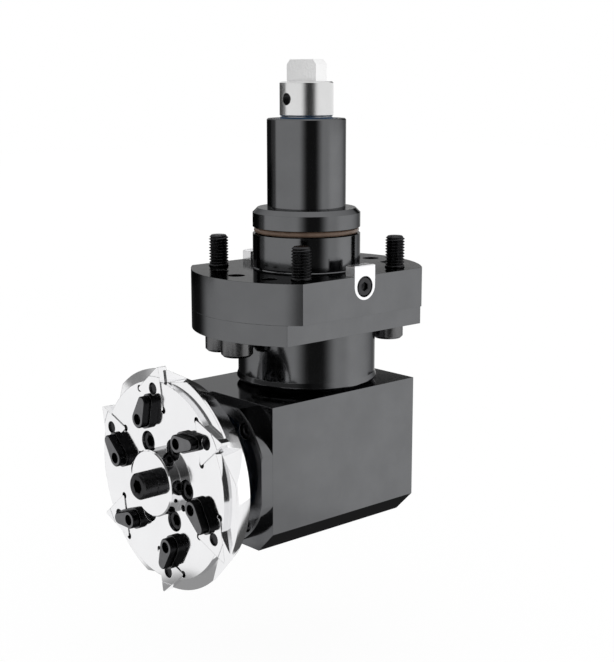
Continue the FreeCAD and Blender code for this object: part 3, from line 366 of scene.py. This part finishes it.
# %% [markdown]
# ## A cutter's land that leans
# Outside its raised face the cutter has a lower ring, the land. On the real one it mirrors other
# things than the face does, as a very shallow cone would. The measured ring is flat, so its light
# is leaned outwards here: away from the spindle, on front faces only, and only beyond the step.

# %% Lean the light on the land
def coned_land(material, start, lean):
    """Lean the light outwards by so many degrees, beyond a radius about the spindle."""
    tree = material.node_tree
    shader = tree.nodes["Principled BSDF"]
    flat = shader.inputs["Normal"].links[0].from_socket
    here = node(tree, "ShaderNodeTexCoord", (-1400, 800))
    away = arrows(tree, "SUBTRACT", here.outputs["Object"], (0, 0, AXIS_LEVEL * MM), (-1200, 800))
    outwards = arrows(tree, "MULTIPLY", away, (1, 0, 1), (-1000, 800))
    reach = arrows(tree, "LENGTH", outwards, place=(-800, 900), result="Value")
    unit = arrows(tree, "NORMALIZE", outwards, place=(-800, 700))
    beyond = maths(tree, "GREATER_THAN", reach, start * MM, (-600, 900))
    on_land = maths(tree, "MULTIPLY", front_faces(tree, (-1400, 1100)), beyond, (-400, 1000))
    share = maths(tree, "MULTIPLY", on_land, math.tan(math.radians(lean)), (-200, 1000))
    push = arrows(tree, "SCALE", unit, share, (0, 800))
    turned = node(tree, "ShaderNodeVectorTransform", (200, 800), vector_type="VECTOR",
                  convert_from="OBJECT", convert_to="WORLD")
    tree.links.new(push, turned.inputs["Vector"])
    leaning = arrows(tree, "ADD", flat, turned.outputs["Vector"], (400, 700))
    tree.links.new(arrows(tree, "NORMALIZE", leaning, place=(600, 700)), shader.inputs["Normal"])
    return material


print("the land is found about the axis at", AXIS_LEVEL, "mm")

# %% [markdown]
# ## The finishes by name
# The housings are blackened and ground, so they mirror softly. The screws are blacker, the cutter
# and its inserts are polished bright, the shaft's collar keeps its turning lines and the tang is
# blasted matt. Two rubbers close the list: a brown ring in the seat and a navy lip at the top.
# Each name is a finish that the measured model gives to its pieces.

# %% Mix the finishes
BLACKENED = (0.128, 0.130, 0.134)
POLISHED = (0.86, 0.86, 0.87)
ROUND_THE_SHANK = (1, 1, 40)
ROUND_THE_SPINDLE = (1, 30, 1)
FINISHES = {
    "black_oxide": steel("black_oxide", BLACKENED, 0.12, cloud=0.06, edge_tint=0.35),
    "black_screw": steel("black_screw", (0.045, 0.045, 0.047), 0.28, edge_tint=0.5, cloud_scale=400),
    # The clamp's sides get painted shade, a near black chosen by which way a face looks.
    "black_clamp": shade_all_but_front(
        steel("black_clamp", (0.16, 0.16, 0.165), 0.3, edge_tint=0.5, cloud_scale=300), (0.018, 0.018, 0.019)),
    "polished_steel": steel("polished_steel", POLISHED, 0.09, cloud=0.02, grain_depth=0.01),
    "ground_steel": steel("ground_steel", (0.80, 0.80, 0.81), 0.22, cloud=0.04, grain=ROUND_THE_SPINDLE),
    "turned_steel": steel("turned_steel", (0.70, 0.70, 0.70), 0.18, cloud=0.03,
                          grain=ROUND_THE_SHANK, grain_depth=0.12),
    "blasted_steel": steel("blasted_steel", (0.92, 0.92, 0.92), 0.28, cloud=0.03,
                           grain_scale=3000, grain_depth=0.15),
    "bearing_steel": steel("bearing_steel", (0.75, 0.75, 0.76), 0.12, cloud=0.03),
    "gear_steel": steel("gear_steel", (0.42, 0.42, 0.44), 0.3, grain_depth=0.15),
    "brown_rubber": rubber("brown_rubber", (0.135, 0.088, 0.062), 0.42),
    "navy_rubber": rubber("navy_rubber", (0.012, 0.05, 0.11), 0.38),
}
print("finishes:", ", ".join(FINISHES))

# %% [markdown]
# ## Four pieces that stray from their finish
# The gear block is ground all over and stays paler at a flat angle. The cutter has its leaning
# land. The shank is turned in one piece with finely broken edges, and the joint screws under the
# flange are a lighter grey than the other screws. Each keeps the name of its finish and gets its own mix.

# %% Mix the four
LAND_START = 48.9
LAND_LEAN = 9.0
OWN_FINISH = {
    "gear_block": steel("black_oxide_ground", BLACKENED, 0.12, cloud=0.06, edge_tint=0.5),
    "cutter_body": coned_land(
        steel("polished_cutter", POLISHED, 0.09, cloud=0.02, grain_depth=0.01), LAND_START, LAND_LEAN),
    "shank_housing": steel("black_oxide_turned", BLACKENED, 0.12, cloud=0.06, edge_tint=0.35, edge=0.08),
    "joint_screws_threaded": steel("grey_screw", (0.13, 0.13, 0.132), 0.26, edge_tint=0.5, cloud_scale=400),
}
print("pieces with their own mix:", ", ".join(OWN_FINISH))

# %% [markdown]
# ## Dress the measured pieces
# Most pieces keep their measured shape and only get their finish. The material's slot is read
# from the measured model, so a piece that changes its finish there changes it here.

# %% Lay on the finishes
SLOT_OF = {part["node"]: part["material_slot"] for part in frame["record"]["subparts"]}
for name, piece in NODES.items():
    piece.data.materials.clear()
    piece.data.materials.append(OWN_FINISH.get(name, FINISHES[SLOT_OF[name]]))
print("dressed", len(NODES), "measured pieces")

# %% [markdown]
# ## A thread as a spiral in the radius
# A metric thread is a sixty degree ridge that climbs by its pitch each turn. Here the ridge is
# only a radius that depends on angle and height, so the skin needs enough rows for each turn and
# nothing else. The ridge sinks into the chamfered tip at one end and runs out at the other.

# %% Climb round a screw
ROWS_PER_TURN = 12
THREAD_DEPTH = 0.61
RIDGE_SLOPE = 1.15
CREST_WIDTH = 0.05
TIP_CHAMFER = 0.9


def thread_radius(outer, pitch, low, high):
    """A spiral ridge between two heights that fades into the chamfered tip at the low end."""
    depth = THREAD_DEPTH * pitch

    def radius(angle, height):
        turn = (height / pitch - angle / (2 * math.pi)) % 1.0
        ridge = abs(2 * turn - 1)
        cut = depth * min(1.0, max(0.0, RIDGE_SLOPE * ridge - CREST_WIDTH))
        lead = max(0.0, TIP_CHAMFER * pitch - (height - low))
        runout = min(1.0, max(0.0, (high - height) / pitch))
        return min(outer - cut * runout, outer - lead)
    return radius


print("a pitch of 1.5 mm gives ridges", round(THREAD_DEPTH * 1.5, 2), "mm high")

# %% [markdown]
# ## A socket screw as a fastener maker would turn it
# The head has a knurl for the fingers, a broken rim and a hexagon socket with a drilled bottom.
# The shank is plain under the head and threaded below. All of it is one stack of rows, from the
# tip over the thread and round the head down into the socket.

# %% Stack the rows of a screw
SCREW_POINTS = 72
KNURL_TEETH = 36
RUNOUT = 0.3
LEAST_NECK = 0.1
UNDER_HEAD = 0.4
RIM_CHAMFER = 0.07
SOCKET_DEPTH = 0.5
SOCKET_MOUTH = 0.64
SOCKET_LEAD = 0.06
DRILL_MOUTH = 0.42
DRILL_DEPTH = 0.25


def socket_screw(shank_d, pitch, head_d, head_h, socket, length, threaded, plain_r=None, knurl=0.12):
    """A socket screw on Z: the seat of its head is at 0, the head above and the shank below."""
    start = threaded - length
    plain_r = plain_r or shank_d / 2
    spiral = thread_radius(shank_d / 2, pitch, -length, start)
    rows = [(0, -length), (shank_d / 2 - TIP_CHAMFER * pitch, -length)]
    steps = int(threaded / pitch * ROWS_PER_TURN)
    rows += [(spiral, -length + threaded * step / steps) for step in range(steps + 1)]
    head_r = head_d / 2
    grip = knurled(head_r, knurl, KNURL_TEETH)
    chamfer = RIM_CHAMFER * head_d
    floor_h = head_h - SOCKET_DEPTH * head_h
    rows += [
        (plain_r, min(start + RUNOUT, -LEAST_NECK)), (plain_r, 0), (head_r - UNDER_HEAD, 0), (grip, UNDER_HEAD),
        (grip, head_h - chamfer), (head_r - chamfer, head_h), (socket * SOCKET_MOUTH, head_h),
        (hexagon(socket), head_h - SOCKET_LEAD * socket), (hexagon(socket), floor_h),
        (socket * DRILL_MOUTH, floor_h), (0, floor_h - DRILL_DEPTH * socket),
    ]
    return skin(rows, SCREW_POINTS)


def stand_in(name, node_name, mesh, places, body, slot="black_screw"):
    """Put the finer piece in the measured one's place."""
    made = place_copies(name, mesh, places, body)
    made.data.materials.append(OWN_FINISH.get(name, FINISHES[slot]))
    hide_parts(node_name)
    return made


print("a screw has", SCREW_POINTS, "points round it")

# %% [markdown]
# ## Screws by their standard sizes
# A fastener maker keeps to a table: the thread fixes the pitch, the head and the socket. Only the
# length and how far the thread runs are chosen for each place, so the table is written once.

# %% The table of screws, in millimetres
M10 = {"shank_d": 10.0, "pitch": 1.5, "head_d": 16.0, "head_h": 10.0, "socket": 8.0}
M8 = {"shank_d": 8.0, "pitch": 1.25, "head_d": 13.0, "head_h": 8.0, "socket": 6.0}
M6 = {"shank_d": 6.0, "pitch": 1.0, "head_d": 10.0, "head_h": 6.0, "socket": 5.0}
M6_LOW = {"shank_d": 6.0, "pitch": 1.0, "head_d": 10.0, "head_h": 4.0, "socket": 4.0}
M4 = {"shank_d": 4.0, "pitch": 0.7, "head_d": 7.0, "head_h": 4.0, "socket": 3.0}
print("largest pitch", M10["pitch"], "mm, smallest", M4["pitch"], "mm")

# %% [markdown]
# ## The four clamp screws
# They hang captive in the flange with their heads below and their threads standing out of it, so
# these threads are the finest detail that is seen. Their waist is thinner than the thread, which
# is what keeps them from falling out.

# %% Clamp screws at the corners of the seat
SEAT_SPACING = 64.0
CLAMP_SEAT = -8.8
CLAMP_WAIST_R = 4.1
half = SEAT_SPACING / 2
CORNERS = [(x, y) for x in (-half, half) for y in (-half, half)]
stand_in("clamp_screws_threaded", "turret_clamp_screws",
         socket_screw(**M10, length=25.0, threaded=15.8, plain_r=CLAMP_WAIST_R),
         [hanging(x, y, CLAMP_SEAT) for x, y in CORNERS], "holder")

# %% [markdown]
# ## The four joint screws
# They hold the head against the flange from below. Two heads stand close together at the front
# and two at the rear, where a wrench can reach them beside the neck.

# %% Joint screws round the neck
JOINT_CIRCLE = 46.3
JOINT_ANGLES = (-90, -111, 90, 69)
PLATE_BOTTOM = -30.3
JOINTS = [polar(JOINT_CIRCLE, angle) for angle in JOINT_ANGLES]
stand_in("joint_screws_threaded", "flange_joint_screws",
         socket_screw(**M10, length=25.3, threaded=14.0),
         [hanging(x, y, PLATE_BOTTOM) for x, y in JOINTS], "holder")

# %% [markdown]
# ## Small screws of the keys and the front cover
# The orientation keys are held from the side, by one low-headed screw each. The cover behind the
# cutter has four small screws sunk in it, a quarter of a turn apart.

# %% Key screws and cover screws
KEY_SEAT = 39.0
KEY_LEVEL = -5.4
COVER_CIRCLE = 33.2
COVER_SEAT = 56.0
SMALL_KNURL = 0.08
stand_in("key_screws_knurled", "key_screws",
         socket_screw(**M6_LOW, length=10.0, threaded=7.0, knurl=SMALL_KNURL),
         [sideways(side, KEY_LEVEL, KEY_SEAT) for side in (1, -1)], "holder")
stand_in("cover_screws_knurled", "front_cover_screws",
         socket_screw(**M4, length=10.0, threaded=7.0, knurl=SMALL_KNURL),
         [on_spindle(COVER_CIRCLE, 45 + 90 * index, COVER_SEAT) for index in range(4)], "holder")

# %% [markdown]
# ## Screws that turn with the cutter
# Six screws hold the cutter on the spindle's nose, and a tall one in the middle holds the
# washer over its pilot. They ride on the spindle's body, so they go round with it at every pose.

# %% Mount screws and the centre screw
MOUNT_CIRCLE = 20.2
MOUNT_SEAT = 86.8
CENTRE_SEAT = 100.0
stand_in("mount_screws_knurled", "cutter_mount_screws",
         socket_screw(**M6, length=14.6, threaded=10.0),
         [on_spindle(MOUNT_CIRCLE, 60 * index, MOUNT_SEAT) for index in range(6)], "cutter_spindle")
stand_in("centre_screw_threaded", "centre_screw",
         socket_screw(**M8, length=22.0, threaded=14.0, knurl=0.1),
         [on_spindle(0, 0, CENTRE_SEAT)], "cutter_spindle")

# %% [markdown]
# ## The light
# The holder was photographed in plain white light from all sides. A white world does that without
# a lamp: it lights every face alike, and at a strength of 1 a colour renders as it is written.

# %% Build the surround
world = bpy.data.worlds.new("studio")
bpy.context.scene.world = world
world.use_nodes = True
surround = world.node_tree.nodes["Background"]
surround.inputs["Color"].default_value = (1, 1, 1, 1)
surround.inputs["Strength"].default_value = 1.0
print("surround strength", surround.inputs["Strength"].default_value)

# %% [markdown]
# ## The floor
# A pale floor lies below the holder. It shows its white to the camera and to the steel that
# mirrors it, by asking what kind of ray has come, and a tenth of it still takes the holder's
# shadow. A floor that only glowed would leave the holder hanging in the air.

# %% Lay the floor
FLOOR_LEVEL = -0.2
FLOOR_SIZE = 4.0
FLOOR_TONE = 0.85
FLOOR_GLOW = 1.02
GLOW_SHARE = 0.9


def sheet(name, size):
    """A flat square of the stage, lying at the origin."""
    made = bmesh.new()
    bmesh.ops.create_grid(made, x_segments=1, y_segments=1, size=size)
    data = bpy.data.meshes.new(name)
    made.to_mesh(data)
    made.free()
    piece = bpy.data.objects.new(name, data)
    bpy.context.scene.collection.objects.link(piece)
    paint = bpy.data.materials.new(name)
    paint.use_nodes = True
    data.materials.append(paint)
    return piece, paint.node_tree


floor, tree = sheet("floor", FLOOR_SIZE)
floor.location.z = FLOOR_LEVEL
matt = tree.nodes["Principled BSDF"]
matt.inputs["Base Color"].default_value = (FLOOR_TONE, FLOOR_TONE, FLOOR_TONE, 1)
matt.inputs["Roughness"].default_value = 0.9
glow = node(tree, "ShaderNodeEmission", (0, -300), Strength=FLOOR_GLOW)
rays = node(tree, "ShaderNodeLightPath", (-500, 300))
blend = node(tree, "ShaderNodeMixShader", (300, 0))
mirrored = maths(tree, "MAXIMUM", rays.outputs["Is Glossy Ray"], rays.outputs["Is Transmission Ray"])
seen = maths(tree, "MAXIMUM", rays.outputs["Is Camera Ray"], mirrored)
tree.links.new(maths(tree, "MULTIPLY", seen, GLOW_SHARE), blend.inputs["Fac"])
tree.links.new(matt.outputs["BSDF"], blend.inputs[1])
tree.links.new(glow.outputs["Emission"], blend.inputs[2])
tree.links.new(blend.outputs["Shader"], tree.nodes["Material Output"].inputs["Surface"])
print("floor", FLOOR_LEVEL, "m")

# %% [markdown]
# ## A card for the steel to mirror
# Polished and blackened steel look like what stands round them, so a photographer moves black and
# white cards until the stripes lie well. A card here is a flat sheet with soft edges that only
# mirrors can see: it changes no colour and casts no light or shadow.

# %% Cut a card
HIDDEN_FROM = ("camera", "diffuse", "shadow", "transmission", "volume_scatter")


def edge_fade(tree, across, size, strength, soft):
    """Full strength in the middle, fading to nothing over the soft share before the edge."""
    fade = node(tree, "ShaderNodeMapRange", (-400, -200), interpolation_type="SMOOTHSTEP")
    map_range(fade, size * (1 - soft), size, strength, 0.0)
    tree.links.new(maths(tree, "ABSOLUTE", across), fade.inputs["Value"])
    return fade.outputs["Result"]


def card(name, size, level, strength, soft):
    """A sheet of one brightness; soft gives the faded share of each half width, or 0 for none."""
    piece, tree = sheet(name, size)
    for kind in HIDDEN_FROM:
        setattr(piece, "visible_" + kind, False)
    tree.nodes.remove(tree.nodes["Principled BSDF"])
    shine = node(tree, "ShaderNodeEmission", (0, 0), Strength=level)
    clear = node(tree, "ShaderNodeBsdfTransparent", (0, 200))
    blend = node(tree, "ShaderNodeMixShader", (300, 0))
    place = node(tree, "ShaderNodeTexCoord", (-1000, 0))
    split = node(tree, "ShaderNodeSeparateXYZ", (-800, 0))
    tree.links.new(place.outputs["Object"], split.inputs["Vector"])
    edges = [edge_fade(tree, split.outputs[axis], size, strength, share)
             for axis, share in zip("XY", soft) if share]
    cover = edges[0] if len(edges) == 1 else maths(tree, "MULTIPLY", edges[0], edges[1])
    tree.links.new(cover, blend.inputs["Fac"])
    tree.links.new(clear.outputs["BSDF"], blend.inputs[1])
    tree.links.new(shine.outputs["Emission"], blend.inputs[2])
    tree.links.new(blend.outputs["Shader"], tree.nodes["Material Output"].inputs["Surface"])
    return piece


print("cards are hidden from:", ", ".join(HIDDEN_FROM))

# %% [markdown]
# ## Cards that stand round the holder
# A bearing is counted from the cutter's front towards the right. The dark card draws the black
# stripe down every cylinder, two on the left close their left edges, a grey one is what the
# cutter's land mirrors, and a bright one behind lifts the right side. The high card behind keeps
# the level tops black, and the upper one in front draws the thin dark line round the cutter's
# step, which mirrors twice in its corner.

# %% Stand the cards
CARD_REACH = 0.45
CARD_TOP = 0.8
FAR = 1.2
BLACK = 0.02


def stand(name, bearing, spread, level, strength, soft, foot=-0.2, top=CARD_TOP, reach=CARD_REACH):
    """An upright card at a bearing from the front, as wide as its spread in degrees each way."""
    half = reach * math.tan(math.radians(spread))
    piece = card(name, half, level, strength, (soft, 0))
    turn = math.radians(bearing)
    spot = Vector((math.sin(turn) * reach, -math.cos(turn) * reach, (foot + top) / 2))
    tall = Matrix.Diagonal((1, (top - foot) / 2 / half, 1, 1))
    piece.matrix_world = (Matrix.Translation(spot) @ Matrix.Rotation(turn, 4, "Z")
                          @ Matrix.Rotation(math.pi / 2, 4, "X") @ tall)
    return piece


stand("dark_flag", bearing=62.0, spread=36.0, level=BLACK, strength=0.98, soft=0.75)
stand("left_flag", bearing=-105.0, spread=45.0, level=BLACK, strength=0.95, soft=0.5, top=0.02)
stand("far_left_flag", bearing=-105.0, spread=45.0, level=BLACK, strength=0.95, soft=0.5, top=0.15, reach=FAR)
stand("land_flag", bearing=-62.0, spread=14.0, level=0.15, strength=0.9, soft=0.6,
      foot=-0.18, top=0.6, reach=FAR)
stand("bright_card", bearing=150.0, spread=42.0, level=1.3, strength=1.0, soft=0.5, top=0.06, reach=0.23)
stand("high_flag", bearing=214.0, spread=16.5, level=BLACK, strength=0.95, soft=0.08,
      foot=0.195, top=1.2, reach=FAR)
stand("upper_card", bearing=3.0, spread=56.0, level=0.08, strength=0.95, soft=0.2,
      foot=0.28, top=2.3, reach=FAR)
print("standing cards at", CARD_REACH, "m and", FAR, "m")

# %% [markdown]
# ## Cards that lie under the holder
# The floor is bright, and without cover it would shine up into every underside. One black card
# lies close under the block and keeps its lower chamfers dark. A grey one lies in front of it and
# tones what the cutter's lower edge mirrors.

# %% Lay the low cards
low_card = card("low_flag", 0.040, 0.03, 0.97, (0.1, 0.1))
low_card.location = (-0.003, 0.002, -0.1405)
low_card.scale.y = 1.55
toe_card = card("toe_flag", 0.09, 0.2, 0.92, (0.25, 0.25))
toe_card.location = (-0.02, -0.132, -0.192)
toe_card.scale.y = 0.6
print("low cards at", round(low_card.location.z, 4), "m and", round(toe_card.location.z, 4), "m")

# %% [markdown]
# ## The camera where the photograph was taken
# The viewpoint was solved from the photograph's circles and straight edges, so the picture can be
# laid over the photograph. The focal length is kept in pixels and turned into millimetres here.

# %% Stand the camera where the photograph was taken
CAMERA_TURN = 48.084
CAMERA_RISE = 11.163
CAMERA_PLACE = (490.84, -440.28, 96.21)
FOCAL_PIXELS = 1293.9
IMAGE_WIDTH = 614
SENSOR = 36.0
NEAREST = 0.01
turn = math.radians(CAMERA_TURN)
rise = math.radians(CAMERA_RISE)
back = Vector((math.sin(turn) * math.cos(rise), -math.cos(turn) * math.cos(rise), math.sin(rise)))
right = Vector((math.cos(turn), math.sin(turn), 0))
up = back.cross(right)
lens = bpy.data.cameras.new("camera")
lens.sensor_fit = "HORIZONTAL"
lens.sensor_width = SENSOR
lens.lens = FOCAL_PIXELS / IMAGE_WIDTH * SENSOR
lens.clip_start = NEAREST
camera = bpy.data.objects.new("camera", lens)
spot = Matrix.Translation(Vector(CAMERA_PLACE) * MM)
camera.matrix_world = spot @ Matrix((right, up, back)).transposed().to_4x4()
bpy.context.scene.collection.objects.link(camera)
bpy.context.scene.camera = camera
bpy.context.scene.view_settings.view_transform = "Standard"
print("lens", round(lens.lens, 2), "mm")

# %% Finish
bpy.context.view_layer.update()
